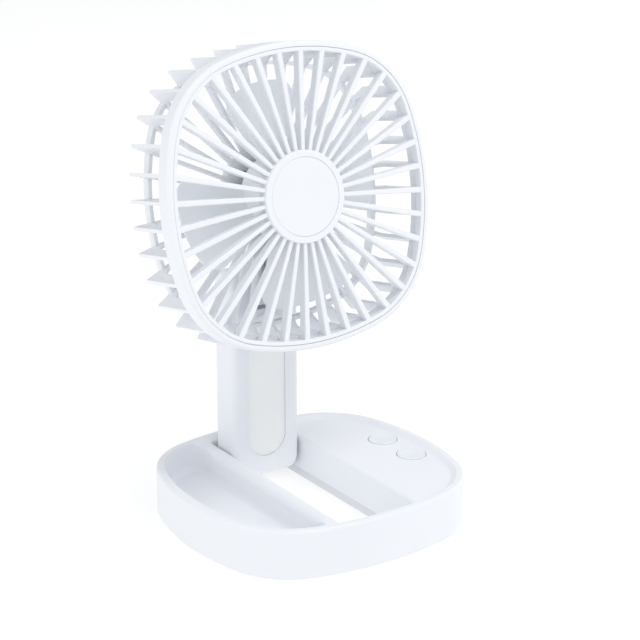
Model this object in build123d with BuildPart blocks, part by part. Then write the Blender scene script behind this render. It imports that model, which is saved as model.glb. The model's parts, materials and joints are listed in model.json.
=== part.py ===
from build123d import *
from math import asin, atan2, cos, degrees, radians, sin, sqrt, tan
import os

# A folding desk fan. Its square, round-cornered head stands on a flat post, the post stands in a
# slot through a wide base, and the whole thing folds flat: the post falls forward into the slot
# while the head flips back over its hinge and comes to rest face up above the base.
#
# Millimetres, +Z up, origin on the floor under the middle of the base. The fan blows towards -Y.

os.makedirs("parts", exist_ok=True)

# ---------------------------------------------------------------- driving dimensions: base
BASE_HALF_X = 60.0
BASE_HALF_Y = 57.7
BASE_CORNER = 34.0  # radius of the corner arcs
BASE_ARC_X = 23.0  # centre of a corner arc
BASE_ARC_Y = 20.75
RIM_TOP = 21.3
RIM_WIDTH = 3.3
DECK_TOP = 19.5
DECK_SLOPE = 2.4  # width of the dished band between the rim and the deck
BASE_WALL = 2.0
WALL_BOTTOM = 0.6
DECK_SKIN = 2.0
TRAY_FLOOR = 8.5
RIDGE_X = -23.2  # edge of the tray, along the slot
TRAY_SLOPE = 1.6  # how far that edge leans in by the floor
TRAY_CORNER = 6.0
TRAY_FILLET = 3.0
RIM_ROUND = 1.3
FLOOR_ROUND = 1.2
DECK_BLEND = 1.8
SLOT_ROUND = 1.8
RIDGE_ROUND = 4.3
RIDGE_STRAIGHT = 37.0  # half the length that is rounded in full
RUN_OUT_RADIUS = 18.0
SLOT_HALF = 17.75
SLOT_FRONT = -50.5
SLOT_REAR = 51.0
SEAM_Z = 4.3  # where the bottom cover meets the slot wall

# ---------------------------------------------------------------- driving dimensions: post
POST_HALF = 16.7
POST_RADIUS = 8.25  # half the thickness, and the radius of both ends
POST_ROUND = 3.2
HINGE_Y = 41.25
BASE_HINGE_Z = 12.2
HEAD_HINGE_Z = 91.8
LENS_HALF = 9.15
LENS_BOTTOM = 15.2
LENS_TOP = 79.5
LENS_FIT = 0.04
LENS_ROUND = 0.2
NOTCH_HALF = 6.5
NOTCH_FLOOR = 82.5

# ---------------------------------------------------------------- driving dimensions: head
HEAD_HALF = 62.0
HEAD_CORNER = 39.0
HEAD_ARC = 20.1
HEAD_LEAN = 10.0  # degrees, leaning back at rest
FACE_Y = 3.0  # middle of the front face
FACE_Z = 137.5
RIB_COUNT = 36
RING_INNER = 4.3  # the opening of the grille, in from the outline
SEAM_INSET = 2.5  # the groove between the grille and the cage rim
GRILLE_DEPTH = 4.1
RIM_DEPTH = 7.3
CAGE_DEPTH = 33.2
FIN_THICKNESS = 1.5
HOOP_INSET = 8.0
HOOP_FRONT = 29.2
HUB_RADIUS = 18.8
CAP_RADIUS = 16.0
ROTOR_RADIUS = 47.0
REAR_HUB_RADIUS = 21.0

# ---------------------------------------------------------------- clearances
RUNNING = 0.05  # between a pin and its bore, on the radius
SEAM_GAP = 0.2  # between two covers of one body

HEAD_COS = cos(radians(HEAD_LEAN))
HEAD_SIN = sin(radians(HEAD_LEAN))
head_front = Plane(origin=(0, FACE_Y, FACE_Z), x_dir=(1, 0, 0), z_dir=(0, -HEAD_COS, HEAD_SIN))
head_side = Plane(origin=(0, FACE_Y, FACE_Z), x_dir=(0, HEAD_COS, -HEAD_SIN), z_dir=(1, 0, 0))

# The head hinge, seen from the head: how far behind the face and how far above its middle.
HINGE_DEPTH = (HINGE_Y - FACE_Y) * HEAD_COS - (HEAD_HINGE_Z - FACE_Z) * HEAD_SIN
HINGE_RISE = (HINGE_Y - FACE_Y) * HEAD_SIN + (HEAD_HINGE_Z - FACE_Z) * HEAD_COS


def save(piece, name):
    """Label a finished piece and write it."""
    piece.part.label = name
    export_step(piece.part, f"parts/{name}.step")


def head_at(depth):
    """The plane across the head at a depth behind its front face."""
    return head_front.offset(-depth)


def side_radius(half, along, across, corner):
    """Radius of the flat arc that joins two corner arcs and passes through the middle of a side."""
    reach = half - along
    return (across**2 + reach**2 - corner**2) / (2 * (reach - corner))


def squircle(half_x, half_y, corner, arc_x, arc_y):
    """A flat face bounded by eight tangent arcs."""
    radius_x = side_radius(half_x, arc_x, arc_y, corner)
    radius_y = side_radius(half_y, arc_y, arc_x, corner)
    low = degrees(atan2(arc_y, arc_x - half_x + radius_x))
    high = degrees(atan2(arc_y - half_y + radius_y, arc_x))
    turn = high - low
    flat = 180 - 2 * high
    with BuildSketch() as outline:
        with BuildLine():
            CenterArc((half_x - radius_x, 0), radius_x, -low, 2 * low)
            CenterArc((arc_x, arc_y), corner, low, turn)
            CenterArc((0, half_y - radius_y), radius_y, high, flat)
            CenterArc((-arc_x, arc_y), corner, 180 - high, turn)
            CenterArc((radius_x - half_x, 0), radius_x, 180 - low, 2 * low)
            CenterArc((-arc_x, -arc_y), corner, 180 + low, turn)
            CenterArc((0, radius_y - half_y), radius_y, 180 + high, flat)
            CenterArc((arc_x, -arc_y), corner, 360 - high, turn)
        make_face()
    return outline.sketch


def base_outline(inset=0.0):
    """The base seen from above, or a line a constant distance inside it."""
    corner = BASE_CORNER - inset
    return squircle(BASE_HALF_X - inset, BASE_HALF_Y - inset, corner, BASE_ARC_X, BASE_ARC_Y)


def head_outline(inset=0.0):
    """The head seen from the front, or a line a constant distance inside it."""
    half = HEAD_HALF - inset
    return squircle(half, half, HEAD_CORNER - inset, HEAD_ARC, HEAD_ARC)


def hinge_plane(height, x=0.0):
    """The plane square to the hinge axis at one height, with its x forward and its y up."""
    return Plane(origin=(x, HINGE_Y, height), x_dir=(0, -1, 0), z_dir=(-1, 0, 0))


# ================================================================ fasteners
SCREW_HEAD_RADIUS = 1.9
SCREW_HEAD_HEIGHT = 1.3
SCREW_RADIUS = 1.0
CROSS_LENGTH = 2.2
CROSS_WIDTH = 0.55
CROSS_DEPTH = 0.7


def screws(places, length):
    """Cross-head screws, heads down on the given planes, each a solid of its own."""
    with BuildPart() as group:
        for place in places:
            with BuildSketch(place):
                Circle(SCREW_HEAD_RADIUS)
            extrude(amount=SCREW_HEAD_HEIGHT)
            with BuildSketch(place):
                Circle(SCREW_RADIUS)
            extrude(amount=SCREW_HEAD_HEIGHT + length)
            with BuildSketch(place):
                Rectangle(CROSS_LENGTH, CROSS_WIDTH)
                Rectangle(CROSS_WIDTH, CROSS_LENGTH)
            extrude(amount=CROSS_DEPTH, mode=Mode.SUBTRACT)
    return group


# ================================================================ base: layout inside the shell
COVER_BOTTOM = 0.8
COVER_TOP = 2.6
DECK_UNDER = DECK_TOP - DECK_SKIN
TRAY_UNDER = TRAY_FLOOR - DECK_SKIN
SLOT_WALL = SLOT_HALF + BASE_WALL
SLOT_LENGTH = SLOT_REAR - SLOT_FRONT
SLOT_MIDDLE = (SLOT_REAR + SLOT_FRONT) / 2

BASE_SCREW_PLACES = [(50, 26.5), (50, -26.5), (-50, 26.5), (-50, -26.5)]
BASE_SCREW_PLACES += [(28.5, 46.5), (-28.5, 46.5), (28.5, -46.5), (-28.5, -46.5)]
BASE_SCREW_SEAT = 3.0
BASE_SCREW_LENGTH = 4.6
CUP_TOP = 4.6
CUP_RADIUS = 3.3
BOSS_RADIUS = 3.0

FEET_PLACES = [(40, 38), (-40, 38), (40, -38), (-40, -38)]
FOOT_RADIUS = 5.0
FOOT_HEIGHT = 1.4

BUTTONS = {"power_button": (46.0, 11.5), "light_button": (46.5, -9.0)}
BUTTON_RADIUS = 6.25
BUTTON_HOLE = 6.55
FLANGE_RADIUS = 7.5
FLANGE_TOP = DECK_UNDER - 0.3
FLANGE_BOTTOM = FLANGE_TOP - 1.1
COLLAR_RADIUS = 7.85
COLLAR_BOTTOM = 15.2

BOARD_BOTTOM = 12.1
BOARD_TOP = 13.3
BOARD_X = (26.0, 54.0)
BOARD_Y = (-20.0, 22.0)
BOARD_SCREW_PLACES = [(29.5, -16.5), (29.5, 18.5)]
SWITCH_TOP = 15.0
STEM_RADIUS = 1.5
STEM_BOTTOM = 14.3
DISH_RADIUS = 5.3
DISH_DEPTH = 0.5
DISH_FLAT = 0.8
BUTTON_PROUD = 0.35
BUTTON_ROUND = 0.45

BATTERY_X = 33.5
BATTERY_Y = -6.0
BATTERY_WIDTH = 24.0
BATTERY_LENGTH = 60.0
BATTERY_HEIGHT = 7.8
BATTERY_BOTTOM = 2.9
BOARD_SCREW_LENGTH = 4.4

PORT_Y = 1.0
PORT_Z = 10.3
PORT_WIDTH = 8.94
PORT_HEIGHT = 3.26

# ================================================================ base: hinge hardware
BASE_PIN_RADIUS = 2.5
BASE_PIN_LEFT = -22.0
BASE_PIN_RIGHT = 24.6
CLIP_GROOVE = 23.2  # left edge of the groove that takes the clip
CLIP_THICKNESS = 0.6
WASHER_RADIUS = 4.6


def base_cavity():
    """The hollow inside the base shell, open downwards."""
    with BuildPart() as hollow:
        with BuildSketch():
            add(base_outline(BASE_WALL))
        extrude(amount=DECK_UNDER)
        with BuildSketch(Plane.XY.offset(SEAM_Z)):
            with Locations((0, SLOT_MIDDLE)):
                Rectangle(2 * SLOT_WALL, SLOT_LENGTH + 2 * BASE_WALL)
        extrude(amount=RIM_TOP, mode=Mode.SUBTRACT)
        with BuildSketch(Plane.XY.offset(TRAY_UNDER)):
            with Locations((RIDGE_X + BASE_WALL - BASE_HALF_X / 2, 0)):
                Rectangle(BASE_HALF_X, 3 * BASE_HALF_Y)
        extrude(amount=RIM_TOP, mode=Mode.SUBTRACT)
    return hollow.part


def tray_half(inset, edge):
    """The part of the base outline that lies beyond a straight edge, on the tray's side."""
    with BuildSketch() as half:
        add(base_outline(inset))
        with Locations((edge - BASE_HALF_X, 0)):
            Rectangle(2 * BASE_HALF_X, 3 * BASE_HALF_Y, mode=Mode.INTERSECT)
    return half.sketch


def tray_recess():
    """The shallow tray beside the slot, as the solid that is cut away."""
    with BuildPart() as recess:
        with BuildSketch(Plane.XY.offset(TRAY_FLOOR)):
            add(tray_half(RIM_WIDTH + 0.6, RIDGE_X - TRAY_SLOPE))
        with BuildSketch(Plane.XY.offset(RIM_TOP)):
            add(tray_half(RIM_WIDTH, RIDGE_X))
        loft()
        upright = recess.edges().filter_by(lambda edge: edge.bounding_box().size.Z > 1)
        fillet(upright.group_by(Axis.X)[-1], TRAY_CORNER)
        fillet(recess.edges().group_by(Axis.Z)[0], TRAY_FILLET)
    return recess.part


def ridge_tool():
    """The cove that rounds the ridge along the tray and runs out smoothly at both ends."""
    edge = RIDGE_X - TRAY_SLOPE / 3
    pivot_x = edge + RIDGE_ROUND - RUN_OUT_RADIUS
    with BuildPart() as tool:
        for end in (-1, 1):
            place = Plane(origin=(edge, end * RIDGE_STRAIGHT, DECK_TOP), x_dir=(1, 0, 0), z_dir=(0, -1, 0))
            with BuildSketch(place) as cove:
                with BuildLine():
                    Polyline(
                        (0, -RIDGE_ROUND),
                        (-1, -RIDGE_ROUND),
                        (-1, 0.5),
                        (RIDGE_ROUND, 0.5),
                        (RIDGE_ROUND, 0),
                    )
                    CenterArc((RIDGE_ROUND, -RIDGE_ROUND), RIDGE_ROUND, 90, 90)
                make_face()
            extrude(amount=end * RIDGE_STRAIGHT)
            pivot = Axis((pivot_x, end * RIDGE_STRAIGHT, 0), (0, 0, 1))
            revolve(cove.sketch, axis=pivot, revolution_arc=end * 40)
    return tool.part


def drill(radius, low, high, places):
    """Upright round bars at the given places, as one tool."""
    with BuildPart() as tool:
        with BuildSketch(Plane.XY.offset(low)):
            with Locations(*places):
                Circle(radius)
        extrude(amount=high - low)
    return tool.part


def hinge_bar(radius, left, right, height):
    """A round bar along a hinge axis."""
    with BuildPart() as bar:
        with BuildSketch(hinge_plane(height, left)):
            Circle(radius)
        extrude(amount=left - right)
    return bar.part


def make_base_shell():
    """Outer wall, rim, deck, ridge, slot walls and tray in one moulding."""
    hollow = base_cavity()
    recess = tray_recess()
    screw_bosses = drill(BOSS_RADIUS, CUP_TOP + 0.1, TRAY_UNDER + 0.5, BASE_SCREW_PLACES)
    tall_places = [place for place in BASE_SCREW_PLACES if place[0] > 0]
    tall_bosses = drill(BOSS_RADIUS, CUP_TOP + 0.1, DECK_UNDER + 0.5, tall_places)
    screw_bores = drill(SCREW_RADIUS, CUP_TOP, BASE_SCREW_SEAT + BASE_SCREW_LENGTH + 0.2, BASE_SCREW_PLACES)
    board_pillars = drill(2.6, BOARD_TOP, DECK_UNDER + 0.5, BOARD_SCREW_PLACES)
    board_bores = drill(SCREW_RADIUS, BOARD_TOP, BOARD_TOP + 3.4, BOARD_SCREW_PLACES)
    button_places = list(BUTTONS.values())
    collars = drill(COLLAR_RADIUS + 1.1, COLLAR_BOTTOM, DECK_UNDER + 0.5, button_places)
    wells = drill(COLLAR_RADIUS, COLLAR_BOTTOM, DECK_UNDER, button_places)
    holes = drill(BUTTON_HOLE, COLLAR_BOTTOM, RIM_TOP, button_places)
    pin_boss = hinge_bar(6.0, SLOT_HALF + 0.5, CLIP_GROOVE - 0.2, BASE_HINGE_Z)
    pin_bore = hinge_bar(BASE_PIN_RADIUS, BASE_PIN_LEFT, BASE_PIN_RIGHT, BASE_HINGE_Z)
    with BuildPart() as shell:
        with BuildSketch(Plane.XY.offset(WALL_BOTTOM)):
            add(base_outline())
        extrude(amount=RIM_TOP - WALL_BOTTOM)
        fillet(shell.edges().group_by(Axis.Z)[-1], RIM_ROUND)
        fillet(shell.edges().group_by(Axis.Z)[0], FLOOR_ROUND)
        with BuildSketch(Plane.XY.offset(DECK_TOP)):
            add(base_outline(RIM_WIDTH + DECK_SLOPE))
        with BuildSketch(Plane.XY.offset(RIM_TOP)):
            add(base_outline(RIM_WIDTH))
        loft(mode=Mode.SUBTRACT)
        deck_edges = shell.edges().filter_by_position(Axis.Z, DECK_TOP - 0.01, DECK_TOP + 0.01)
        fillet(deck_edges, DECK_BLEND)
        add(recess, mode=Mode.SUBTRACT)
        with BuildSketch():
            with Locations((0, SLOT_MIDDLE)):
                RectangleRounded(2 * SLOT_HALF, SLOT_LENGTH, 1.0)
        extrude(amount=RIM_TOP, mode=Mode.SUBTRACT)
        level = shell.edges().filter_by_position(Axis.Z, DECK_TOP - 0.01, DECK_TOP + 0.01)
        along = level.filter_by(Axis.Y)
        slot_edges = along.filter_by(lambda edge: abs(edge.center().X) < SLOT_HALF + 0.1)
        fillet(slot_edges, SLOT_ROUND)
        add(ridge_tool(), mode=Mode.SUBTRACT)
        add(hollow, mode=Mode.SUBTRACT)
        add(screw_bosses)
        add(tall_bosses)
        add(board_pillars)
        add(collars)
        add(pin_boss)
        add(wells, mode=Mode.SUBTRACT)
        add(holes, mode=Mode.SUBTRACT)
        add(screw_bores, mode=Mode.SUBTRACT)
        add(board_bores, mode=Mode.SUBTRACT)
        add(pin_bore, mode=Mode.SUBTRACT)
        with BuildSketch(Plane.YZ.offset(BASE_HALF_X - 4)):
            with Locations((PORT_Y, PORT_Z)):
                SlotOverall(PORT_WIDTH + 0.3, PORT_HEIGHT + 0.3)
        extrude(amount=8, mode=Mode.SUBTRACT)
    return shell


def make_bottom_cover():
    """The plate that closes the base from below, with an upstand round the slot and screw cups."""
    cups = drill(CUP_RADIUS, COVER_BOTTOM, CUP_TOP, BASE_SCREW_PLACES)
    seats = drill(SCREW_HEAD_RADIUS + 0.3, COVER_BOTTOM, BASE_SCREW_SEAT, BASE_SCREW_PLACES)
    bores = drill(SCREW_RADIUS + 0.1, COVER_BOTTOM, CUP_TOP, BASE_SCREW_PLACES)
    foot_seats = drill(FOOT_RADIUS + 0.1, COVER_BOTTOM, FOOT_HEIGHT, FEET_PLACES)
    with BuildPart() as cover:
        with BuildSketch(Plane.XY.offset(COVER_BOTTOM)):
            add(base_outline(BASE_WALL + SEAM_GAP))
        extrude(amount=COVER_TOP - COVER_BOTTOM)
        with BuildSketch(Plane.XY.offset(COVER_BOTTOM)):
            with Locations((0, SLOT_MIDDLE)):
                RectangleRounded(2 * SLOT_WALL, SLOT_LENGTH + 2 * BASE_WALL, 1.0 + BASE_WALL)
        extrude(amount=SEAM_Z - 0.1 - COVER_BOTTOM)
        add(cups)
        with BuildSketch():
            with Locations((0, SLOT_MIDDLE)):
                RectangleRounded(2 * SLOT_HALF, SLOT_LENGTH, 1.0)
        extrude(amount=RIM_TOP, mode=Mode.SUBTRACT)
        add(seats, mode=Mode.SUBTRACT)
        add(bores, mode=Mode.SUBTRACT)
        add(foot_seats, mode=Mode.SUBTRACT)
    return cover


def make_rubber_feet():
    """Four round pads, each with a softened lower edge."""
    with BuildPart() as feet:
        with BuildSketch():
            with Locations(*FEET_PLACES):
                Circle(FOOT_RADIUS)
        extrude(amount=FOOT_HEIGHT)
        fillet(feet.edges().group_by(Axis.Z)[0], 0.4)
    return feet


def make_circuit_board():
    """The base's board, notched clear of the hinge pin's boss."""
    width = BOARD_X[1] - BOARD_X[0]
    length = BOARD_Y[1] - BOARD_Y[0]
    middle = (sum(BOARD_X) / 2, sum(BOARD_Y) / 2)
    chips = [((36, 4), 6, 6), ((34, -9), 4, 5), ((44, 1), 3, 3)]
    with BuildPart() as board:
        with BuildSketch(Plane.XY.offset(BOARD_BOTTOM)):
            with Locations(middle):
                RectangleRounded(width, length, 1.5)
            with Locations(*BOARD_SCREW_PLACES):
                Circle(SCREW_RADIUS + 0.1, mode=Mode.SUBTRACT)
        extrude(amount=BOARD_TOP - BOARD_BOTTOM)
        for place, chip_width, chip_length in chips:
            with BuildSketch(Plane.XY.offset(BOARD_TOP)):
                with Locations(place):
                    Rectangle(chip_width, chip_length)
            extrude(amount=0.9)
    return board


def make_tact_switches():
    """Two square switch housings, each with a well for the stem of its button."""
    with BuildPart() as switches:
        with BuildSketch(Plane.XY.offset(BOARD_TOP)):
            with Locations(*BUTTONS.values()):
                RectangleRounded(6.0, 6.0, 0.4)
                Circle(STEM_RADIUS + 0.3, mode=Mode.SUBTRACT)
        extrude(amount=SWITCH_TOP - BOARD_TOP)
    return switches


def make_battery():
    """A flat pouch cell with a folded seal along each long side."""
    with BuildPart() as cell:
        with BuildSketch(Plane.XY.offset(BATTERY_BOTTOM)):
            with Locations((BATTERY_X, BATTERY_Y)):
                Rectangle(BATTERY_WIDTH, BATTERY_LENGTH)
        extrude(amount=BATTERY_HEIGHT)
        fillet(cell.edges().filter_by(Axis.Y), 2.4)
        fillet(cell.edges().filter_by(Axis.X), 0.6)
    return cell


def make_charging_port():
    """A flat oval charging socket with its tongue, lying in the wall beside the board."""
    mouth = BASE_HALF_X - 1.2
    with BuildPart() as port:
        with BuildSketch(Plane.YZ.offset(mouth)):
            with Locations((PORT_Y, PORT_Z)):
                SlotOverall(PORT_WIDTH, PORT_HEIGHT)
        extrude(amount=-7.3)
        with BuildSketch(Plane.YZ.offset(mouth)):
            with Locations((PORT_Y, PORT_Z)):
                SlotOverall(PORT_WIDTH - 0.6, PORT_HEIGHT - 0.6)
                Rectangle(6.7, 0.7, mode=Mode.SUBTRACT)
        extrude(amount=-6.2, mode=Mode.SUBTRACT)
    return port


def make_base_pin():
    """The steel pin of the base hinge, with a groove for its clip."""
    with BuildPart() as pin:
        add(hinge_bar(BASE_PIN_RADIUS, BASE_PIN_LEFT, BASE_PIN_RIGHT, BASE_HINGE_Z))
        with BuildSketch(hinge_plane(BASE_HINGE_Z, CLIP_GROOVE)):
            Circle(BASE_PIN_RADIUS)
            Circle(BASE_PIN_RADIUS - 0.5, mode=Mode.SUBTRACT)
        extrude(amount=-CLIP_THICKNESS, mode=Mode.SUBTRACT)
        chamfer(pin.faces().sort_by(Axis.X)[-1].edges(), 0.3)
    return pin


def make_pin_clip():
    """An open retaining ring in the pin's groove."""
    with BuildPart() as clip:
        with BuildSketch(hinge_plane(BASE_HINGE_Z, CLIP_GROOVE)):
            Circle(4.4)
            Circle(BASE_PIN_RADIUS - 0.5, mode=Mode.SUBTRACT)
            with Locations((0, -3)):
                Rectangle(2.6, 6, mode=Mode.SUBTRACT)
        extrude(amount=-CLIP_THICKNESS)
    return clip


def make_friction_washers(height, bore, radius, spans):
    """Flat washers along a hinge axis, one in each span."""
    with BuildPart() as washers:
        for left, right in spans:
            with BuildSketch(hinge_plane(height, left)):
                Circle(radius)
                Circle(bore, mode=Mode.SUBTRACT)
            extrude(amount=left - right)
    return washers


def make_button(place):
    """A dished round button with a raised lip, a hidden flange and the stem that works its switch."""
    top = DECK_TOP + BUTTON_PROUD
    shoulder = BUTTON_RADIUS - BUTTON_ROUND
    profile_plane = Plane(origin=(*place, 0), x_dir=(1, 0, 0), z_dir=(0, -1, 0))
    with BuildPart() as button:
        with BuildSketch(profile_plane):
            with BuildLine():
                Polyline(
                    (0, STEM_BOTTOM),
                    (STEM_RADIUS, STEM_BOTTOM),
                    (STEM_RADIUS, FLANGE_BOTTOM),
                    (FLANGE_RADIUS, FLANGE_BOTTOM),
                    (FLANGE_RADIUS, FLANGE_TOP),
                    (BUTTON_RADIUS, FLANGE_TOP),
                    (BUTTON_RADIUS, top - BUTTON_ROUND),
                )
                CenterArc((shoulder, top - BUTTON_ROUND), BUTTON_ROUND, 0, 90)
                Line((shoulder, top), (DISH_RADIUS, top))
                dish_edge = (DISH_RADIUS, top)
                dish_middle = (DISH_FLAT, top - DISH_DEPTH)
                Spline(dish_edge, dish_middle, tangents=[(-DISH_RADIUS, -2 * DISH_DEPTH), (-1, 0)])
                Polyline(dish_middle, (0, top - DISH_DEPTH), (0, STEM_BOTTOM))
            make_face()
        revolve(axis=Axis((*place, 0), (0, 0, 1)))
    return button


save(make_base_shell(), "base_shell")
save(make_bottom_cover(), "base_bottom_cover")
save(make_rubber_feet(), "rubber_feet")
base_screw_planes = [Plane((x, y, BASE_SCREW_SEAT - SCREW_HEAD_HEIGHT)) for x, y in BASE_SCREW_PLACES]
save(screws(base_screw_planes, BASE_SCREW_LENGTH), "base_screws")
save(make_circuit_board(), "main_circuit_board")
board_screw_planes = [Plane((x, y, BOARD_BOTTOM - SCREW_HEAD_HEIGHT)) for x, y in BOARD_SCREW_PLACES]
save(screws(board_screw_planes, BOARD_SCREW_LENGTH), "board_screws")
save(make_tact_switches(), "tact_switches")
save(make_battery(), "battery_pack")
save(make_charging_port(), "charging_port")
save(make_base_pin(), "base_hinge_pin")
save(make_pin_clip(), "base_hinge_clip")
washer_spans = [(POST_HALF + 0.1, SLOT_HALF - 0.03), (0.03 - SLOT_HALF, -POST_HALF - 0.1)]
base_washers = make_friction_washers(BASE_HINGE_Z, BASE_PIN_RADIUS, WASHER_RADIUS, washer_spans)
save(base_washers, "base_hinge_washers")
for button_name, button_place in BUTTONS.items():
    save(make_button(button_place), button_name)

# ================================================================ post
SLEEVE_RADIUS = 4.0
LENS_WALL = 2.0  # thickness of the post's front wall
LENS_FLANGE = 1.2
POST_FRONT = HINGE_Y - POST_RADIUS
POST_REAR = HINGE_Y + POST_RADIUS
LENS_MIDDLE = (LENS_BOTTOM + LENS_TOP) / 2
LENS_LENGTH = LENS_TOP - LENS_BOTTOM
LENS_LIP = 1.0
LENS_LIP_HEIGHT = 0.3
INSIDE_BOTTOM = 22.5
INSIDE_TOP = 78.5
REAR_COVER_BOTTOM = 25.0
REAR_COVER_TOP = 76.0
REAR_COVER_HALF = 12.0
REAR_COVER_THICKNESS = 2.0
POST_SCREW_PLACES = [(9.0, 30.0), (-9.0, 30.0), (9.0, 71.0), (-9.0, 71.0)]
POST_SCREW_LENGTH = 5.5
LIGHT_BOARD_Y = 38.6
LIGHT_BOARD_THICKNESS = 1.0
LIGHT_BOARD_WIDTH = 11.0
LIGHT_BOARD_LENGTH = 52.0
LIGHT_MIDDLE = (REAR_COVER_BOTTOM + REAR_COVER_TOP) / 2
LIGHT_COUNT = 9
LIGHT_PITCH = 5.4

# ================================================================ head hinge
TOP_PIN_RADIUS = 2.0
TOP_RECESS_RADIUS = 3.7
TOP_RECESS_FLOOR = 11.9
CAP_DEPTH = 1.0
TONGUE_HALF = 6.0
TONGUE_RADIUS = 7.6


def upright(y):
    """The plane facing forward at one depth of the post, with its y up."""
    return Plane(origin=(0, y, 0), x_dir=(1, 0, 0), z_dir=(0, -1, 0))


def lens_shape(grow=0.0):
    """The long round-ended outline of the light strip, drawn upright."""
    with BuildSketch() as shape:
        with Locations((0, LENS_MIDDLE)):
            SlotOverall(LENS_LENGTH + 2 * grow, 2 * (LENS_HALF + grow), rotation=90)
    return shape.sketch


def hinge_gap(low_half, floor):
    """The notch at the top of the post."""
    with BuildPart() as gap:
        with BuildSketch(upright(POST_REAR + 1)):
            with Locations((0, floor + 15)):
                Rectangle(2 * low_half, 30)
        extrude(amount=2 * POST_RADIUS + 2)
        fillet(gap.edges().group_by(Axis.Z)[0].filter_by(Axis.Y), 1.0)
    return gap.part


def make_post_housing():
    """Front and sides of the post, with a hinge barrel at each end and a notch at the top."""
    notch = hinge_gap(NOTCH_HALF, NOTCH_FLOOR)
    with BuildPart() as housing:
        with BuildSketch(Plane.YZ.offset(-POST_HALF)):
            with Locations((HINGE_Y, (BASE_HINGE_Z + HEAD_HINGE_Z) / 2)):
                SlotCenterToCenter(HEAD_HINGE_Z - BASE_HINGE_Z, 2 * POST_RADIUS, rotation=90)
        extrude(amount=2 * POST_HALF)
        fillet(housing.faces().filter_by(Axis.X).edges(), POST_ROUND)
        with BuildSketch(upright(POST_FRONT)):
            add(lens_shape(LENS_LIP))
        extrude(amount=LENS_LIP_HEIGHT)
        fillet(housing.edges().group_by(Axis.Y)[0], 0.25)
        with BuildSketch(upright(POST_FRONT + LENS_WALL)):
            add(lens_shape())
        extrude(amount=LENS_WALL + 1, mode=Mode.SUBTRACT)
        with BuildSketch(upright(POST_FRONT + LENS_WALL + 1.4)):
            add(lens_shape(LENS_FLANGE + 0.1))
        extrude(amount=1.4, mode=Mode.SUBTRACT)
        with BuildSketch(upright(POST_REAR - REAR_COVER_THICKNESS)):
            with Locations((0, (INSIDE_BOTTOM + INSIDE_TOP) / 2)):
                RectangleRounded(2 * (POST_HALF - 2.2), INSIDE_TOP - INSIDE_BOTTOM, 2.5)
        extrude(amount=2 * POST_RADIUS - REAR_COVER_THICKNESS - LENS_WALL - 0.2, mode=Mode.SUBTRACT)
        with BuildSketch(upright(POST_REAR + 1)):
            with Locations((0, (REAR_COVER_BOTTOM + REAR_COVER_TOP) / 2)):
                height = REAR_COVER_TOP - REAR_COVER_BOTTOM + 2 * SEAM_GAP
                RectangleRounded(2 * (REAR_COVER_HALF + SEAM_GAP), height, 3.2)
        extrude(amount=REAR_COVER_THICKNESS + 1.2, mode=Mode.SUBTRACT)
        with BuildSketch(upright(POST_REAR - REAR_COVER_THICKNESS - 0.05)):
            for x, z in POST_SCREW_PLACES:
                with Locations((x, z)):
                    Circle(2.6)
                with Locations((1.3 * x, z)):
                    Rectangle(7.0, 5.2)
        extrude(amount=8.6)
        with BuildSketch(upright(POST_REAR)):
            with Locations(*POST_SCREW_PLACES):
                Circle(SCREW_RADIUS)
        extrude(amount=REAR_COVER_THICKNESS + POST_SCREW_LENGTH, mode=Mode.SUBTRACT)
        add(hinge_bar(SLEEVE_RADIUS, -POST_HALF, POST_HALF, BASE_HINGE_Z), mode=Mode.SUBTRACT)
        add(notch, mode=Mode.SUBTRACT)
        add(hinge_bar(TOP_PIN_RADIUS + RUNNING, -POST_HALF, POST_HALF, HEAD_HINGE_Z), mode=Mode.SUBTRACT)
        for side in (-POST_HALF, TOP_RECESS_FLOOR):
            recess = hinge_bar(TOP_RECESS_RADIUS, side, side + POST_HALF - TOP_RECESS_FLOOR, HEAD_HINGE_Z)
            add(recess, mode=Mode.SUBTRACT)
    return housing


def make_post_cover():
    """The flat cover let into the back of the post, with two pads that hold the light board."""
    seat_y = POST_REAR - REAR_COVER_THICKNESS
    board_back = LIGHT_BOARD_Y + LIGHT_BOARD_THICKNESS
    with BuildPart() as cover:
        with BuildSketch(upright(seat_y + REAR_COVER_THICKNESS - 0.1)):
            with Locations((0, (REAR_COVER_BOTTOM + REAR_COVER_TOP) / 2)):
                RectangleRounded(2 * REAR_COVER_HALF, REAR_COVER_TOP - REAR_COVER_BOTTOM, 3.0)
        extrude(amount=REAR_COVER_THICKNESS - 0.1)
        chamfer(cover.edges().group_by(Axis.Y)[-1], 0.25)
        with BuildSketch(upright(seat_y + 0.1)):
            with Locations((0, 30), (0, 71)):
                RectangleRounded(6, 4, 0.8)
        extrude(amount=seat_y + 0.1 - board_back - 0.02)
        with BuildSketch(upright(POST_REAR)):
            with Locations(*POST_SCREW_PLACES):
                Circle(SCREW_HEAD_RADIUS + 0.2)
        extrude(amount=SCREW_HEAD_HEIGHT + 0.1, mode=Mode.SUBTRACT)
        with BuildSketch(upright(POST_REAR)):
            with Locations(*POST_SCREW_PLACES):
                Circle(SCREW_RADIUS + 0.1)
        extrude(amount=REAR_COVER_THICKNESS + 1, mode=Mode.SUBTRACT)
    return cover


def make_lens():
    """The milky light strip, with a flange that holds it behind the front wall."""
    with BuildPart() as lens:
        with BuildSketch(upright(POST_FRONT + LENS_WALL + 1.0)):
            add(lens_shape(LENS_FLANGE))
        extrude(amount=0.9)
        with BuildSketch(upright(POST_FRONT + LENS_WALL + 1.0)):
            add(lens_shape(-LENS_FIT))
        extrude(amount=LENS_WALL + 0.9)
        fillet(lens.edges().group_by(Axis.Y)[0], LENS_ROUND)
    return lens


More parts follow.
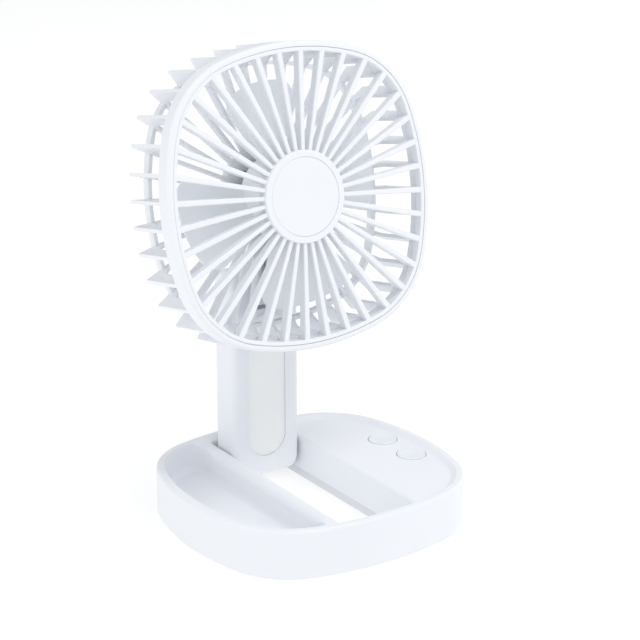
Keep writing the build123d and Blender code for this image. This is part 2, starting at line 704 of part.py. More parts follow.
def make_light_board():
    """The strip of board behind the lens."""
    with BuildPart() as board:
        with BuildSketch(upright(LIGHT_BOARD_Y + LIGHT_BOARD_THICKNESS)):
            with Locations((0, LIGHT_MIDDLE)):
                RectangleRounded(LIGHT_BOARD_WIDTH, LIGHT_BOARD_LENGTH, 1.0)
        extrude(amount=LIGHT_BOARD_THICKNESS)
    return board


def make_light_chips():
    """A row of small white light packages on the board."""
    with BuildPart() as chips:
        with BuildSketch(upright(LIGHT_BOARD_Y)):
            with Locations((0, LIGHT_MIDDLE)):
                with GridLocations(1, LIGHT_PITCH, 1, LIGHT_COUNT):
                    RectangleRounded(3.5, 2.8, 0.3)
        extrude(amount=0.8)
    return chips


def make_sleeve():
    """The plain bearing in the foot of the post."""
    with BuildPart() as sleeve:
        with BuildSketch(hinge_plane(BASE_HINGE_Z, POST_HALF - 0.2)):
            Circle(SLEEVE_RADIUS - 0.02)
            Circle(BASE_PIN_RADIUS + RUNNING, mode=Mode.SUBTRACT)
        extrude(amount=2 * POST_HALF - 0.4)
    return sleeve


def make_hinge_caps():
    """Two small discs that hide the ends of the head hinge."""
    with BuildPart() as caps:
        for side in (POST_HALF - 0.1, CAP_DEPTH - POST_HALF + 0.1):
            with BuildSketch(hinge_plane(HEAD_HINGE_Z, side)):
                Circle(TOP_RECESS_RADIUS - 0.02)
            extrude(amount=CAP_DEPTH)
    return caps


def make_top_pin():
    """The screw-ended pin of the head hinge, with its head on the left."""
    with BuildPart() as pin:
        add(hinge_bar(TOP_PIN_RADIUS, -13.6, 13.9, HEAD_HINGE_Z))
        add(hinge_bar(3.2, -14.1, -12.6, HEAD_HINGE_Z))
        fillet(pin.faces().sort_by(Axis.X)[0].edges(), 0.4)
        with BuildSketch(hinge_plane(HEAD_HINGE_Z, -14.2)):
            Rectangle(4.0, 0.8)
        extrude(amount=-0.9, mode=Mode.SUBTRACT)
    return pin


def make_top_nut():
    """The lock nut that sets the friction of the head hinge."""
    with BuildPart() as nut:
        with BuildSketch(hinge_plane(HEAD_HINGE_Z, 13.9)):
            RegularPolygon(3.1, 6)
            Circle(TOP_PIN_RADIUS, mode=Mode.SUBTRACT)
        extrude(amount=1.35)
    return nut


save(make_post_housing(), "post_housing")
save(make_post_cover(), "post_rear_cover")
post_screw_y = POST_REAR - 0.1
post_screw_planes = [Plane((x, post_screw_y, z), (1, 0, 0), (0, -1, 0)) for x, z in POST_SCREW_PLACES]
save(screws(post_screw_planes, POST_SCREW_LENGTH), "post_screws")
save(make_lens(), "light_lens")
save(make_light_board(), "light_board")
save(make_light_chips(), "light_chips")
save(make_sleeve(), "post_hinge_sleeve")
save(make_hinge_caps(), "hinge_caps")
save(make_top_pin(), "head_hinge_pin")
save(make_top_nut(), "head_hinge_nut")
cheek_spans = [(TONGUE_HALF + 0.05, NOTCH_HALF - 0.05), (0.05 - NOTCH_HALF, -TONGUE_HALF - 0.05)]
spring_spans = [(TOP_RECESS_FLOOR + 0.05, 12.5), (-12.58, -TOP_RECESS_FLOOR - 0.05)]
top_washers = make_friction_washers(HEAD_HINGE_Z, TOP_PIN_RADIUS, 3.3, cheek_spans + spring_spans)
save(top_washers, "head_hinge_washers")

# ================================================================ head
SEAM_HALF = 0.05  # half the width of the groove between grille and rim
RIB_START = 17.2
RIB_REACH = 72.0  # past the outline, before the ribs are trimmed to it
RIB_ROOT_WIDTH = 1.75
RIB_TIP_WIDTH = 2.6
RIB_FIRST = 5.0  # degrees
HUB_PROUD = 0.8
HUB_DEPTH = 4.3
CAP_SEAT = 0.2
REAR_PLATE_TOP = 27.5  # front of the rear hub's plate
REAR_PLATE_BACK = 29.0
REAR_WALL_BACK = 31.5
FIN_INSET = 5.5
FIN_SLOPE = 1.0  # how much shallower the fins are at their tips
RIM_EDGE = 1.5
REAR_FACE_INSET = 16.0  # where the flat of the rear ribs ends
SHAFT_RADIUS = 1.5
BUSH_RADIUS = 4.0
TUBE_RADIUS = 5.6
TUBE_FRONT = 11.5
BUSH_BACK = 26.5
SHAFT_CLIP = 26.9
SHAFT_BACK = 27.9
BOARD_DEPTH = 22.6
BRACKET_SCREW_CIRCLE = 14.5
BRACKET_SCREW_LENGTH = 4.5
BRACKET_FRONT = 31.6
DISC_BACK = 34.0
ARM_BACK = 34.6
ARM_HALF = 8.0
ARM_TOP = -6.0

# ================================================================ rotor
BLADE_COUNT = 4
BLADE_FIRST = 9.5  # degrees
BLADE_SPAN = 52.0  # degrees
BLADE_MIDDLE = 15.5  # depth of the middle of a blade
BLADE_RISE = 10.0
BLADE_CAMBER = 0.12  # sag of a blade's section over half its width
BLADE_THICKNESS = 1.3
BLADE_CORNER = 6.0
CUP_OUTER = 17.2
CUP_INNER = 15.8
CUP_FRONT = 5.6
CUP_BACK = 21.5
CUP_SKIN = 1.6
MAGNET_OUTER = 14.85
MAGNET_INNER = 12.9
STATOR_RADIUS = 12.2
CORE_RADIUS = 7.8
TOOTH_MIDDLE = 9.4  # radius of the middle of a tooth
TOOTH_LENGTH = 4.4
TOOTH_WIDTH = 1.6
SHOE_THICKNESS = 1.2
SHOE_GAP = 1.6
COIL_LENGTH = 2.8
COIL_WIDTH = 3.9
COIL_ROUND = 0.9
COIL_OVERHANG = 1.0
MOTOR_BOARD_RADIUS = 14.0
STATOR_FRONT = 11.5
STATOR_BACK = 19.5
TOOTH_COUNT = 9


def head_prism(shape, front, back):
    """A shape of the head's front view, carried from one depth to another."""
    with BuildPart() as prism:
        with BuildSketch(head_at(back)):
            add(shape)
        extrude(amount=back - front)
    return prism.part


def head_taper(front_inset, front, back_inset, back):
    """The head's outline drawn in evenly from one depth to another."""
    with BuildPart() as taper:
        with BuildSketch(head_at(front)):
            add(head_outline(front_inset))
        with BuildSketch(head_at(back)):
            add(head_outline(back_inset))
        loft()
    return taper.part


def disc(radius, inner=0.0):
    """A round or annular shape about the head's axis."""
    with BuildSketch() as shape:
        Circle(radius)
        if inner:
            Circle(inner, mode=Mode.SUBTRACT)
    return shape.sketch


def band(outer_inset, inner_inset):
    """The strip between two lines inside the head's outline."""
    with BuildSketch() as strip:
        add(head_outline(outer_inset))
        add(head_outline(inner_inset), mode=Mode.SUBTRACT)
    return strip.sketch


def make_rib():
    """One straight tapering rib with rounded front edges, along +X."""
    with BuildPart() as rib:
        with BuildSketch(Plane.XY.offset(-GRILLE_DEPTH)):
            Polygon(
                (RIB_START, -RIB_ROOT_WIDTH / 2),
                (RIB_REACH, -RIB_TIP_WIDTH / 2),
                (RIB_REACH, RIB_TIP_WIDTH / 2),
                (RIB_START, RIB_ROOT_WIDTH / 2),
                align=None,
            )
        extrude(amount=GRILLE_DEPTH - 0.1)
        long_edges = rib.edges().group_by(Axis.Z)[-1].filter_by(lambda edge: edge.length > RIB_TIP_WIDTH)
        fillet(long_edges, 0.55)
    return rib.part


def make_front_grille():
    """The ring, the radial ribs and the hub of the front grille."""
    rib = make_rib()
    with BuildPart(head_front) as spokes:
        with PolarLocations(0, RIB_COUNT, start_angle=RIB_FIRST):
            add(rib)
    with BuildPart() as ribs:
        add(head_prism(head_outline(SEAM_INSET + 0.9), -1, GRILLE_DEPTH + 1))
        add(spokes.part, mode=Mode.INTERSECT)
    with BuildPart() as grille:
        add(head_prism(band(SEAM_INSET + SEAM_HALF, RING_INNER), 0, GRILLE_DEPTH))
        fillet(grille.faces().sort_by(Axis(head_front.origin, head_front.z_dir))[-1].edges(), 0.45)
        add(ribs.part)
        add(head_prism(disc(HUB_RADIUS), -HUB_PROUD, HUB_DEPTH))
        hub_front = grille.faces().sort_by(Axis(head_front.origin, head_front.z_dir))[-1]
        fillet(hub_front.edges(), 0.6)
        add(head_prism(disc(RIB_START), CAP_SEAT + 1.6, HUB_DEPTH), mode=Mode.SUBTRACT)
        add(head_prism(disc(CAP_RADIUS + SEAM_HALF), -HUB_PROUD, CAP_SEAT), mode=Mode.SUBTRACT)
    return grille


def make_hub_cap():
    """The plain round cap let into the hub."""
    with BuildPart() as cap:
        add(head_prism(disc(CAP_RADIUS), -HUB_PROUD, CAP_SEAT))
        fillet(cap.faces().sort_by(Axis(head_front.origin, head_front.z_dir))[-1].edges(), 0.35)
    return cap


def make_rear_cage():
    """Rim, fins, hoop, rear ribs and motor seat in one moulding."""
    with BuildPart() as fins:
        with BuildSketch(head_at(REAR_WALL_BACK)):
            with PolarLocations((RIB_START + RIB_REACH) / 2 + 2, RIB_COUNT, start_angle=RIB_FIRST):
                Rectangle(RIB_REACH - RIB_START, FIN_THICKNESS)
        extrude(amount=REAR_WALL_BACK - RIM_DEPTH + 1)
    with BuildPart() as shape:
        add(head_prism(head_outline(), RIM_DEPTH - 1, CAGE_DEPTH - FIN_SLOPE))
        add(head_taper(0, CAGE_DEPTH - FIN_SLOPE, HOOP_INSET, CAGE_DEPTH))
        hollow = head_taper(HOOP_INSET + 6, REAR_WALL_BACK, HOOP_INSET + 1, CAGE_DEPTH + 0.1)
        add(hollow, mode=Mode.SUBTRACT)
        add(head_prism(head_outline(FIN_INSET), 0, REAR_PLATE_TOP - 3.5), mode=Mode.SUBTRACT)
        inner = head_taper(FIN_INSET, REAR_PLATE_TOP - 3.5, FIN_INSET + 3.5, REAR_PLATE_TOP)
        add(inner, mode=Mode.SUBTRACT)
        add(fins.part, mode=Mode.INTERSECT)
    with BuildPart() as cage:
        add(head_prism(head_outline(), 0, RIM_DEPTH))
        rim_front = cage.faces().sort_by(Axis(head_front.origin, head_front.z_dir))[-1]
        fillet(rim_front.edges(), RIM_EDGE)
        add(head_prism(head_outline(SEAM_INSET - SEAM_HALF), -1, RIM_DEPTH + 1), mode=Mode.SUBTRACT)
        add(head_prism(band(SEAM_INSET - SEAM_HALF - 0.2, RING_INNER), GRILLE_DEPTH + 0.15, RIM_DEPTH))
        add(shape.part)
        add(head_prism(band(HOOP_INSET - 0.8, HOOP_INSET + 0.8), HOOP_FRONT, CAGE_DEPTH + 0.3))
        add(head_prism(disc(REAR_HUB_RADIUS), REAR_PLATE_TOP, REAR_PLATE_BACK))
        add(head_prism(disc(REAR_HUB_RADIUS, REAR_HUB_RADIUS - 2), REAR_PLATE_TOP, REAR_WALL_BACK))
        add(head_prism(disc(TUBE_RADIUS), TUBE_FRONT, REAR_PLATE_BACK))
        add(head_prism(disc(TUBE_RADIUS + 2), BOARD_DEPTH + 1, REAR_PLATE_BACK))
        with BuildSketch(head_at(REAR_WALL_BACK)):
            with PolarLocations(BRACKET_SCREW_CIRCLE, 4, start_angle=45):
                Circle(2.6)
        extrude(amount=REAR_WALL_BACK - REAR_PLATE_BACK)
        with BuildSketch(head_at(REAR_WALL_BACK)):
            with PolarLocations(BRACKET_SCREW_CIRCLE, 4, start_angle=45):
                Circle(SCREW_RADIUS)
        extrude(amount=BRACKET_SCREW_LENGTH, mode=Mode.SUBTRACT)
        add(head_prism(disc(BUSH_RADIUS), TUBE_FRONT, REAR_PLATE_BACK), mode=Mode.SUBTRACT)
    return cage


def rear_face():
    """The space behind the blades and inside the fins, where the flat rear ribs lie."""
    return head_prism(head_outline(REAR_FACE_INSET), TUBE_FRONT - 1, CAGE_DEPTH + 1)


def make_cage_side(cage):
    """The part of the moulding round the blades: rim, fins and the bend into the rear ribs."""
    with BuildPart() as side:
        add(cage.part)
        add(rear_face(), mode=Mode.SUBTRACT)
    return side


def make_cage_back(cage):
    """The flat rear ribs and the motor seat they carry."""
    with BuildPart() as back:
        add(cage.part)
        add(rear_face(), mode=Mode.INTERSECT)
    return back


def make_head_bracket():
    """The disc that closes the rear hub, with the arm and the tongue of the head hinge."""
    with BuildPart() as bracket:
        add(head_prism(disc(REAR_HUB_RADIUS - 0.3), BRACKET_FRONT, DISC_BACK))
        fillet(bracket.faces().sort_by(Axis(head_front.origin, head_front.z_dir))[0].edges(), 1.0)
        low = HINGE_RISE - TONGUE_RADIUS
        with BuildSketch(head_side.offset(-ARM_HALF)) as plate:
            Polygon(
                (BRACKET_FRONT, low + 1.5),
                (BRACKET_FRONT + 1.5, low),
                (ARM_BACK, low),
                (ARM_BACK, ARM_TOP - 3),
                (DISC_BACK - 0.5, ARM_TOP),
                (BRACKET_FRONT, ARM_TOP),
                align=None,
            )
        extrude(amount=2 * ARM_HALF)
        with BuildSketch(head_side.offset(-TONGUE_HALF)):
            with Locations((HINGE_DEPTH, HINGE_RISE)):
                Circle(TONGUE_RADIUS)
            with Locations(((HINGE_DEPTH + BRACKET_FRONT + 1) / 2, HINGE_RISE)):
                Rectangle(HINGE_DEPTH - BRACKET_FRONT - 1, 2 * TONGUE_RADIUS)
        extrude(amount=2 * TONGUE_HALF)
        bore = hinge_bar(TOP_PIN_RADIUS + RUNNING, -POST_HALF, POST_HALF, HEAD_HINGE_Z)
        add(bore, mode=Mode.SUBTRACT)
        with BuildSketch(head_at(DISC_BACK)):
            with PolarLocations(BRACKET_SCREW_CIRCLE, 4, start_angle=45):
                Circle(SCREW_HEAD_RADIUS + 0.2)
        extrude(amount=SCREW_HEAD_HEIGHT + 0.1, mode=Mode.SUBTRACT)
        with BuildSketch(head_at(DISC_BACK)):
            with PolarLocations(BRACKET_SCREW_CIRCLE, 4, start_angle=45):
                Circle(SCREW_RADIUS + 0.1)
        extrude(amount=DISC_BACK - BRACKET_FRONT, mode=Mode.SUBTRACT)
    return bracket


def bracket_screw_planes():
    """Where the screws go in, just inside the back of the disc."""
    places = []
    for turn in range(4):
        angle = radians(45 + 90 * turn)
        across = BRACKET_SCREW_CIRCLE * cos(angle)
        up = BRACKET_SCREW_CIRCLE * sin(angle)
        spot = head_at(DISC_BACK - 0.1).from_local_coords((across, up, 0))
        places.append(Plane(spot, x_dir=(1, 0, 0), z_dir=head_front.z_dir))
    return places


def make_bushing():
    """The sintered bearing in the motor seat."""
    with BuildPart() as bushing:
        add(head_prism(disc(BUSH_RADIUS, SHAFT_RADIUS + 0.03), TUBE_FRONT - 1, BUSH_BACK))
    return bushing


def make_motor_board():
    """The round board behind the windings."""
    with BuildPart() as board:
        add(head_prism(disc(MOTOR_BOARD_RADIUS, TUBE_RADIUS + 0.02), BOARD_DEPTH, BOARD_DEPTH + 1))
        with BuildSketch(head_at(BOARD_DEPTH)):
            with PolarLocations(10.5, 3, start_angle=30):
                Rectangle(3.0, 3.0)
        extrude(amount=0.9)
    return board


def make_stator_core():
    """The laminated core with its wound teeth and pole shoes."""
    with BuildPart() as core:
        with BuildSketch(head_at(STATOR_BACK)) as lamination:
            Circle(CORE_RADIUS)
            with PolarLocations(TOOTH_MIDDLE, TOOTH_COUNT):
                Rectangle(TOOTH_LENGTH, TOOTH_WIDTH)
            with BuildSketch(mode=Mode.PRIVATE) as shoes:
                Circle(STATOR_RADIUS)
                Circle(STATOR_RADIUS - SHOE_THICKNESS, mode=Mode.SUBTRACT)
                with PolarLocations(STATOR_RADIUS, TOOTH_COUNT, start_angle=180 / TOOTH_COUNT):
                    Rectangle(4 * SHOE_THICKNESS, SHOE_GAP, mode=Mode.SUBTRACT)
            add(shoes.sketch)
            Circle(TUBE_RADIUS, mode=Mode.SUBTRACT)
        extrude(amount=STATOR_BACK - STATOR_FRONT)
    return core


def make_coils():
    """One rounded winding round each tooth."""
    with BuildPart() as coils:
        with BuildSketch(head_at(STATOR_BACK + COIL_OVERHANG)):
            with PolarLocations(TOOTH_MIDDLE, TOOTH_COUNT):
                RectangleRounded(COIL_LENGTH, COIL_WIDTH, COIL_ROUND)
        extrude(amount=STATOR_BACK - STATOR_FRONT + 2 * COIL_OVERHANG)
        with BuildSketch(head_at(STATOR_BACK)):
            with PolarLocations(TOOTH_MIDDLE, TOOTH_COUNT):
                Rectangle(TOOTH_LENGTH, TOOTH_WIDTH)
        extrude(amount=STATOR_BACK - STATOR_FRONT, mode=Mode.SUBTRACT)
    return coils


def blade_plan():
    """One blade seen from the front: a sector with rounded outer corners."""
    edge = radians(BLADE_SPAN / 2)
    reach = ROTOR_RADIUS - BLADE_CORNER
    turn = edge - asin(BLADE_CORNER / reach)
    tangent = sqrt(reach**2 - BLADE_CORNER**2)
    corner = (reach * cos(turn), reach * sin(turn))
    touch = (tangent * cos(edge), tangent * sin(edge))
    with BuildSketch() as plan:
        Circle(ROTOR_RADIUS)
        far = 2 * ROTOR_RADIUS
        side = far * tan(turn)
        Polygon((0, 0), (far, -side), (far, side), align=None, mode=Mode.INTERSECT)
        Polygon((0, 0), (touch[0], -touch[1]), (corner[0], -corner[1]), corner, touch, align=None)
        with Locations(corner, (corner[0], -corner[1])):
            Circle(BLADE_CORNER)
    return plan.sketch


def make_blade():
    """One cambered, twisted blade along +X, trimmed to the rotor's radius."""
    with BuildPart() as blade:
        for radius in (CUP_OUTER - 3.2, (CUP_OUTER + ROTOR_RADIUS) / 2, ROTOR_RADIUS + 7):
            half = radius * tan(radians(BLADE_SPAN / 2))
            sag = BLADE_CAMBER * half
            middle = Plane(origin=(radius, 0, -BLADE_MIDDLE), x_dir=(0, 1, 0), z_dir=(1, 0, 0))
            with BuildSketch(middle):
                with BuildLine():
                    low = (-half, -BLADE_RISE / 2)
                    high = (half, BLADE_RISE / 2)
                    low_back = (-half, -BLADE_RISE / 2 - BLADE_THICKNESS)
                    high_back = (half, BLADE_RISE / 2 - BLADE_THICKNESS)
                    ThreePointArc(low, (0, -sag), high)
                    Line(high, high_back)
                    ThreePointArc(high_back, (0, -sag - BLADE_THICKNESS), low_back)
                    Line(low_back, low)
                make_face()
        loft()
        with BuildSketch(Plane.XY.offset(-CUP_BACK - 5)):
            add(blade_plan())
        extrude(amount=CUP_BACK + 5, mode=Mode.INTERSECT)
    return blade.part


def make_fan_rotor():
    """The hub cup and its four blades."""
    blade = make_blade()
    with BuildPart(head_front) as rotor:
        with PolarLocations(0, BLADE_COUNT, start_angle=BLADE_FIRST):
            add(blade)
    with BuildPart() as cup:
        add(head_prism(disc(CUP_OUTER), CUP_FRONT, CUP_BACK))
        fillet(cup.faces().sort_by(Axis(head_front.origin, head_front.z_dir))[-1].edges(), 1.5)
        add(rotor.part)
        add(head_prism(disc(CUP_INNER), CUP_FRONT + CUP_SKIN, CUP_BACK + 1), mode=Mode.SUBTRACT)
        add(head_prism(disc(3.4), CUP_FRONT + CUP_SKIN - 0.5, TUBE_FRONT - 2))
        add(head_prism(disc(SHAFT_RADIUS), CUP_FRONT + CUP_SKIN - 0.2, CUP_BACK), mode=Mode.SUBTRACT)
    return cup


def make_ring(outer, inner, front, back):
    """A plain ring about the head's axis."""
    with BuildPart() as ring:
        add(head_prism(disc(outer, inner), front, back))
    return ring


def make_motor_shaft():
    """The steel shaft, with the groove that takes its clip."""
    with BuildPart() as shaft:
        add(head_prism(disc(SHAFT_RADIUS), CUP_FRONT + CUP_SKIN - 0.2, SHAFT_BACK))
        groove = head_prism(disc(SHAFT_RADIUS, SHAFT_RADIUS - 0.35), SHAFT_CLIP, SHAFT_CLIP + 0.4)
        add(groove, mode=Mode.SUBTRACT)
    return shaft


def make_shaft_clip():
    """The clip that keeps the shaft in its bearing."""
    with BuildPart() as clip:
        with BuildSketch(head_at(SHAFT_CLIP + 0.4)):
            Circle(3.0)
            Circle(SHAFT_RADIUS - 0.35, mode=Mode.SUBTRACT)
            with Locations((0, -2)):
                Rectangle(1.4, 4, mode=Mode.SUBTRACT)
        extrude(amount=0.4)
    return clip


save(make_front_grille(), "front_grille")
save(make_hub_cap(), "hub_cap")
rear_moulding = make_rear_cage()
save(make_cage_side(rear_moulding), "rear_cage")
save(make_cage_back(rear_moulding), "rear_cage_ribs")
save(make_head_bracket(), "head_bracket")
save(screws(bracket_screw_planes(), BRACKET_SCREW_LENGTH - 0.8), "bracket_screws")
save(make_bushing(), "motor_bushing")
save(make_motor_board(), "motor_board")
save(make_stator_core(), "stator_core")
save(make_coils(), "stator_coils")
save(make_fan_rotor(), "fan_rotor")
save(make_ring(CUP_INNER - 0.02, MAGNET_OUTER + 0.02, STATOR_FRONT - 1, CUP_BACK - 0.5), "rotor_bell")
save(make_ring(MAGNET_OUTER, MAGNET_INNER, STATOR_FRONT - 0.5, CUP_BACK - 1), "magnet_ring")
save(make_motor_shaft(), "motor_shaft")
save(make_shaft_clip(), "motor_shaft_clip")
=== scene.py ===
import json
from math import cos, radians, sin

import bpy
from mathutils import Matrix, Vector


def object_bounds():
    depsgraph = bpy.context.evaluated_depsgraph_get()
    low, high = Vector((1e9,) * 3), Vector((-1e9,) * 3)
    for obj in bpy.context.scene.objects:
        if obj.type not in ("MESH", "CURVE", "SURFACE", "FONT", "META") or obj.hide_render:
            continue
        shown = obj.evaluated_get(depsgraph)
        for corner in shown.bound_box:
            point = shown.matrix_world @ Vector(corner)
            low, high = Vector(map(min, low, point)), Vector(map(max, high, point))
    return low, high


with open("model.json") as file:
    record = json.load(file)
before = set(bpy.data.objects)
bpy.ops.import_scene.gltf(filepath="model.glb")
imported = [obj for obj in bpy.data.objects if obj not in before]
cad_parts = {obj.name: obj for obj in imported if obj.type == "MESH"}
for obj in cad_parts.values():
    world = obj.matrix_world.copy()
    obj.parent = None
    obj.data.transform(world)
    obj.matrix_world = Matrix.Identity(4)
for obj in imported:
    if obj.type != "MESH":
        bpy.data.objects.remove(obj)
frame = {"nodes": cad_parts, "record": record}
cad_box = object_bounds()
nodes = frame["nodes"]
scene = bpy.context.scene
scene.view_settings.view_transform = "Standard"

MM = 0.001
LOW, HIGH = (Vector(corner) for corner in cad_box)
HEIGHT = HIGH.z - LOW.z

# ---------------------------------------------------------------- camera
CAMERA_AZIMUTH = radians(33.8)  # how far the camera stands to the object's left of its front
CAMERA_ELEVATION = radians(18.33)
CAMERA_DISTANCE = 0.7244
CAMERA_LENS = 99.6
AIM = Vector((4.3 * MM, -1.44 * MM, 0.433 * HEIGHT))


def make_camera():
    """The camera at the front left, a little above the head's middle."""
    data = bpy.data.cameras.new("camera")
    data.lens = CAMERA_LENS
    data.sensor_width = 36.0
    data.clip_start = 0.01
    camera = bpy.data.objects.new("camera", data)
    scene.collection.objects.link(camera)
    flat = cos(CAMERA_ELEVATION)
    back = Vector((-sin(CAMERA_AZIMUTH) * flat, -cos(CAMERA_AZIMUTH) * flat, sin(CAMERA_ELEVATION)))
    camera.location = AIM + back * CAMERA_DISTANCE
    camera.rotation_euler = back.to_track_quat("Z", "Y").to_euler()
    scene.camera = camera


make_camera()


# ---------------------------------------------------------------- material helpers
class Shader:
    """A node material under construction, with its Principled shader ready."""

    def __init__(self, name):
        self.material = bpy.data.materials.new(name)
        self.material.use_nodes = True
        self.tree = self.material.node_tree
        self.shader = self.tree.nodes["Principled BSDF"]

    def node(self, kind, **inputs):
        """A new node, with its input sockets set by name."""
        made = self.tree.nodes.new(kind)
        for key, value in inputs.items():
            made.inputs[key.replace("_", " ")].default_value = value
        return made

    def link(self, out, into):
        self.tree.links.new(out, into)

    def set(self, **values):
        """Plain values on the Principled shader's own sockets."""
        for key, value in values.items():
            self.shader.inputs[key.replace("_", " ")].default_value = value

    def noise(self, scale, detail=2.0):
        """Object-space noise: scale is in features per metre."""
        place = self.node("ShaderNodeTexCoord")
        noise = self.node("ShaderNodeTexNoise", Scale=scale, Detail=detail)
        self.link(place.outputs["Object"], noise.inputs["Vector"])
        return noise.outputs["Fac"]

    def remap(self, value, low, high, start=0.3, end=0.7):
        """A number that follows another from low to high."""
        spread = self.node("ShaderNodeMapRange")
        spread.inputs["From Min"].default_value = start
        spread.inputs["From Max"].default_value = end
        spread.inputs["To Min"].default_value = low
        spread.inputs["To Max"].default_value = high
        self.link(value, spread.inputs["Value"])
        return spread.outputs["Result"]

    def mix(self, factor, first, second):
        """A colour between two colours."""
        blend = self.node("ShaderNodeMix")
        blend.data_type = "RGBA"
        blend.inputs["A"].default_value = (*first, 1.0)
        blend.inputs["B"].default_value = (*second, 1.0)
        self.link(factor, blend.inputs["Factor"])
        return blend.outputs["Result"]

    def bump(self, height, depth):
        """Relief on the shader's normal: depth in metres."""
        bump = self.node("ShaderNodeBump", Strength=1.0, Distance=depth)
        self.link(height, bump.inputs["Height"])
        self.link(bump.outputs["Normal"], self.shader.inputs["Normal"])


def tint(colour, factor):
    return tuple(min(1.0, channel * factor) for channel in colour)


def plastic(name, colour, roughness=0.42, grain=0.000012, cloud=0.985, subsurface=0.0):
    """Satin moulded plastic: faint clouding, uneven gloss and a fine eroded grain."""
    made = Shader(name)
    made.set(Specular_IOR_Level=0.42, IOR=1.46)
    wide = made.noise(28.0, 3.0)
    made.link(made.mix(made.remap(wide, 0, 1), tint(colour, cloud), colour), made.shader.inputs["Base Color"])
    gloss = made.noise(160.0, 3.0)
    made.link(made.remap(gloss, roughness - 0.04, roughness + 0.04), made.shader.inputs["Roughness"])
    fine = made.noise(5200.0, 2.0)
    made.bump(fine, grain)
    if subsurface:
        made.set(Subsurface_Weight=subsurface, Subsurface_Scale=0.002)
        made.shader.inputs["Subsurface Radius"].default_value = (1.0, 0.9, 0.85)
    return made.material


def metal(name, colour, roughness, grain=0.000006):
    """Plain metal with fine scratches in its gloss."""
    made = Shader(name)
    made.set(Metallic=1.0)
    made.link(made.mix(made.noise(90.0, 3.0), tint(colour, 0.85), colour), made.shader.inputs["Base Color"])
    made.link(made.remap(made.noise(900.0, 4.0), roughness - 0.08, roughness + 0.08),
              made.shader.inputs["Roughness"])
    made.bump(made.noise(3000.0, 3.0), grain)
    return made.material


def board_lacquer():
    """Green lacquer over faint copper tracks."""
    made = Shader("board_lacquer")
    place = made.node("ShaderNodeTexCoord")
    tracks = made.node("ShaderNodeTexBrick", Scale=260.0)
    tracks.inputs["Mortar Size"].default_value = 0.04
    made.link(place.outputs["Object"], tracks.inputs["Vector"])
    made.link(made.mix(tracks.outputs["Fac"], (0.012, 0.085, 0.035), (0.03, 0.16, 0.07)),
              made.shader.inputs["Base Color"])
    made.set(Roughness=0.3, Coat_Weight=0.4)
    made.bump(tracks.outputs["Fac"], 0.00002)
    return made.material


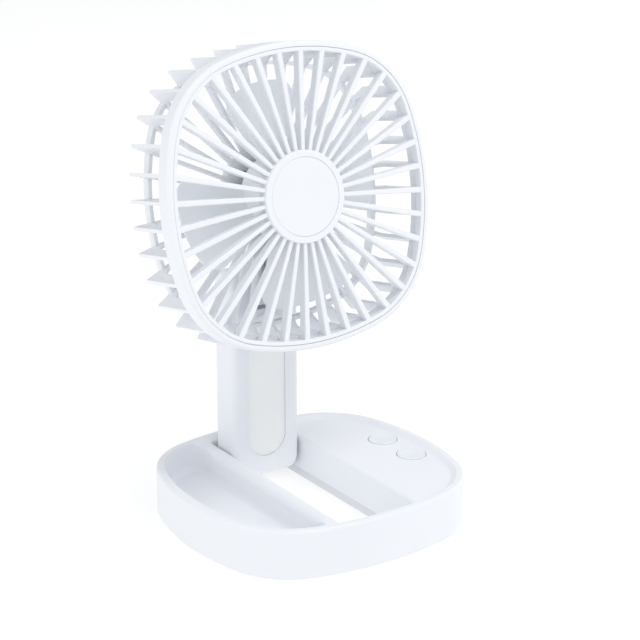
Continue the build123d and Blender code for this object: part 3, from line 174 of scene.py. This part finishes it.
WHITE = (0.865, 0.885, 0.925)
MATERIALS = {
    "shell_white": plastic("shell_white", WHITE),
    "cage_white": plastic("cage_white", (0.865, 0.885, 0.92), roughness=0.4),
    # rotor_white is the same white plastic as the cage, made lighter: painted light that offsets the shade on
    # the blades inside the cage
    "rotor_white": plastic("rotor_white", (0.90, 0.925, 0.955), roughness=0.45),
    "button_white": plastic("button_white", (0.835, 0.855, 0.905), roughness=0.36),
    "lens_milky": plastic("lens_milky", (0.92, 0.945, 0.945), roughness=0.32, grain=0.000004, subsurface=0.35),
    "cover_white": plastic("cover_white", (0.76, 0.78, 0.81), roughness=0.5, grain=0.00002),
    "foot_rubber": plastic("foot_rubber", (0.35, 0.36, 0.38), roughness=0.75, grain=0.00003, cloud=0.9),
    "screw_steel": metal("screw_steel", (0.62, 0.63, 0.65), 0.32),
    "pin_steel": metal("pin_steel", (0.68, 0.68, 0.7), 0.22),
    "washer_nylon": plastic("washer_nylon", (0.72, 0.72, 0.70), roughness=0.5),
    "board_green": board_lacquer(),
    "switch_black": plastic("switch_black", (0.03, 0.03, 0.034), roughness=0.4, cloud=0.8),
    "cell_foil": metal("cell_foil", (0.72, 0.73, 0.75), 0.38, grain=0.00003),
    "port_steel": metal("port_steel", (0.6, 0.61, 0.63), 0.25),
    "chip_white": plastic("chip_white", (0.85, 0.8, 0.5), roughness=0.3),
    "bush_bronze": metal("bush_bronze", (0.55, 0.4, 0.22), 0.45),
    "core_steel": metal("core_steel", (0.42, 0.43, 0.45), 0.4),
    "coil_copper": metal("coil_copper", (0.72, 0.34, 0.17), 0.3, grain=0.00006),
    "magnet_grey": metal("magnet_grey", (0.16, 0.16, 0.17), 0.5),
}


def dress_nodes():
    """Give every CAD node the material of its slot."""
    for entry in frame["record"]["subparts"]:
        mesh = nodes[entry["node"]].data
        mesh.materials.clear()
        mesh.materials.append(MATERIALS[entry["material_slot"]])


dress_nodes()


# ---------------------------------------------------------------- floor and light
FLOOR_LOW = (0.41, 0.41, 0.413)
FLOOR_HIGH = (0.42, 0.42, 0.42)
FLOOR_GLOW = 1.58  # the sweep is a softly lit panel


def make_floor():
    """A wide pale floor, its top at the height of the rubber feet."""
    bpy.ops.mesh.primitive_plane_add(size=60.0, location=(0, 0, LOW.z))
    floor = bpy.context.object
    floor.name = "floor"
    made = Shader("floor_paper")
    paper = made.mix(made.noise(3.0), FLOOR_LOW, FLOOR_HIGH)
    made.link(paper, made.shader.inputs["Base Color"])
    made.link(paper, made.shader.inputs["Emission Color"])
    made.set(Roughness=0.9, Specular_IOR_Level=0.1, Emission_Strength=FLOOR_GLOW)
    floor.data.materials.append(made.material)


def make_softbox(name, place, size, power):
    """A square area light aimed at the middle of the object."""
    data = bpy.data.lights.new(name, "AREA")
    data.shape = "SQUARE"
    data.size = size
    data.energy = power
    light = bpy.data.objects.new(name, data)
    scene.collection.objects.link(light)
    light.location = place
    aim = Vector((0, 0, HEIGHT / 2)) - light.location
    light.rotation_euler = aim.to_track_quat("-Z", "Y").to_euler()


def make_world(strength):
    world = bpy.data.worlds.new("studio")
    world.use_nodes = True
    world.node_tree.nodes["Background"].inputs["Color"].default_value = (0.97, 0.985, 1.0, 1.0)
    world.node_tree.nodes["Background"].inputs["Strength"].default_value = strength
    scene.world = world


make_floor()
make_softbox("key", Vector((0.5, -0.8, 1.7)), 1.2, 12.0)
make_softbox("left", Vector((-1.6, 0.3, 0.7)), 1.3, 6.5)
make_softbox("right", Vector((1.6, 0.2, 0.8)), 1.3, 5.0)
make_softbox("front", Vector((-0.3, -1.4, 1.0)), 1.0, 2.5)
make_world(0.62)
